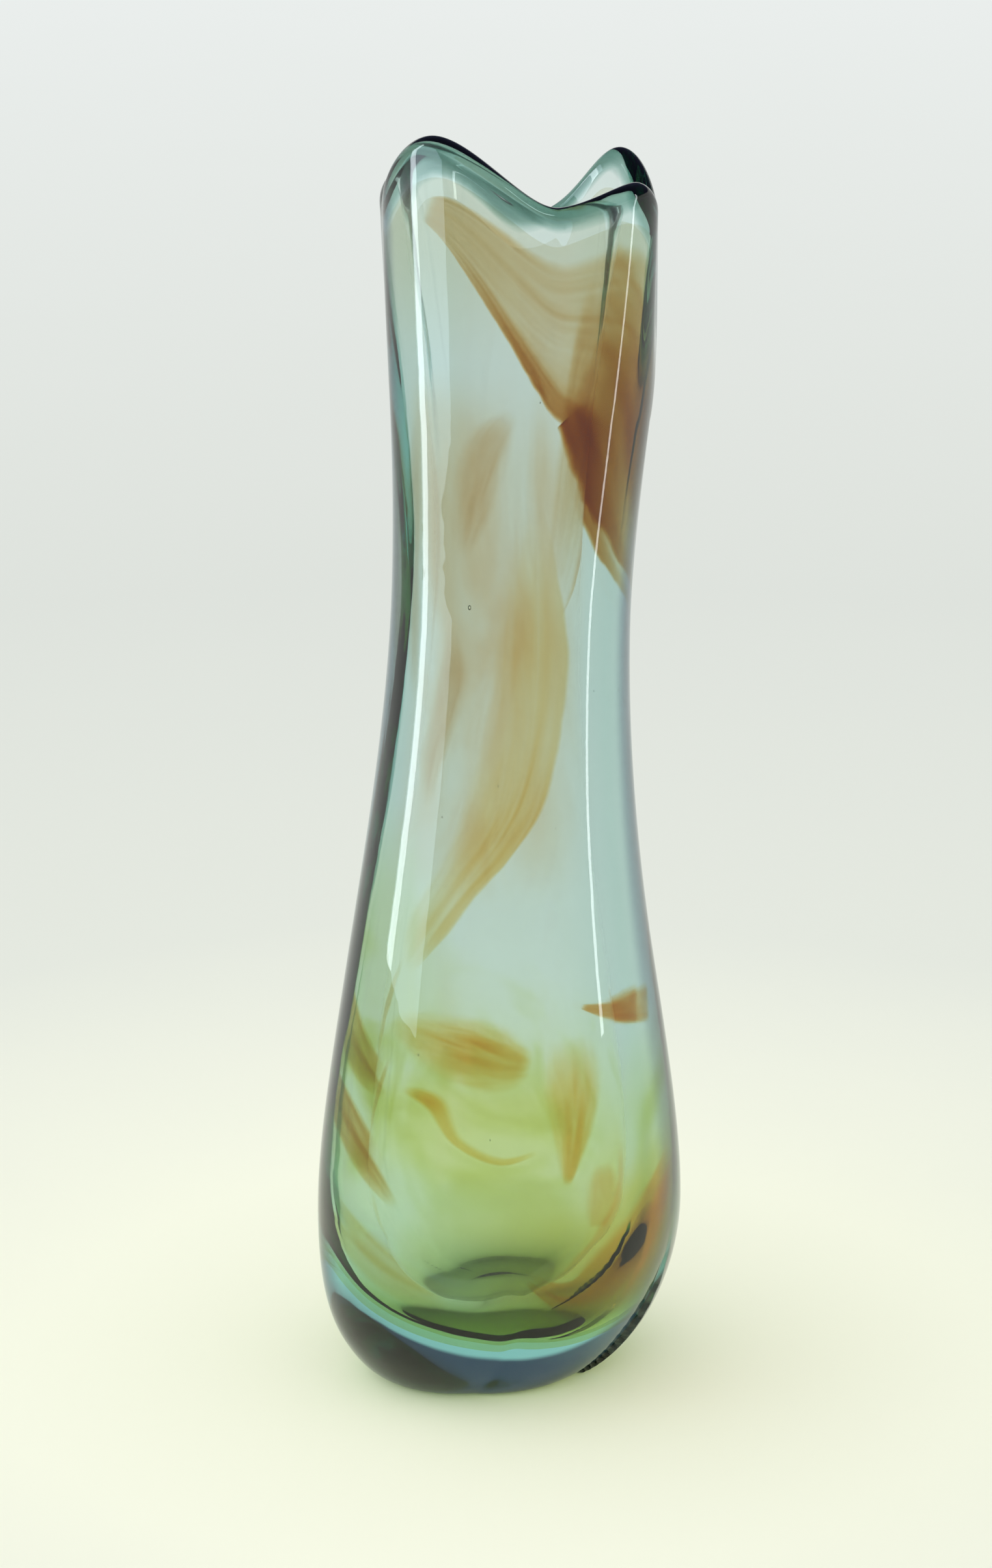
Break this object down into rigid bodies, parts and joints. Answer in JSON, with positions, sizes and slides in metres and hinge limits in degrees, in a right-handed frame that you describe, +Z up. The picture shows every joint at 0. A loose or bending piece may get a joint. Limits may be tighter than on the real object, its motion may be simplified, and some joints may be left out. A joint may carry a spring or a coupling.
{
  "type": "blown glass vase",
  "caption": "Tall hand blown vase of thick aqua glass with brown, amber and yellow trails cased inside, a four-lobed wavy rim and a heavy rounded base.",
  "frame": {"origin": "on the table under the middle of the vase's outline", "axes": "+Z up through the mouth, -Y towards the front, where the deep furrow runs down between the tallest lobe and the low one"},
  "size_m": [0.0726, 0.071, 0.2499],
  "materials": {
    "aqua_glass": "glossy",
    "pale_aqua_glass": "glossy",
    "brown_glass": "glossy",
    "smoky_glass": "glossy",
    "amber_glass": "glossy",
    "yellow_glass": "glossy",
    "orange_glass": "glossy",
    "olive_glass": "glossy"
  },
  "bodies": {
    "root": {"outer_casing": "aqua_glass", "inner_bubble": "pale_aqua_glass", "brown_sash": "brown_glass", "smoky_wisp_1": "smoky_glass", "smoky_wisp_2": "smoky_glass", "smoky_wisp_3": "smoky_glass", "amber_tongue": "amber_glass", "amber_belt": "amber_glass", "yellow_loop": "yellow_glass", "amber_wedge": "amber_glass", "amber_fleck": "amber_glass", "amber_patch": "amber_glass", "orange_crescent": "orange_glass", "olive_stripe_1": "olive_glass", "olive_stripe_2": "olive_glass", "olive_stripe_3": "olive_glass"}
  },
  "joints": []
}
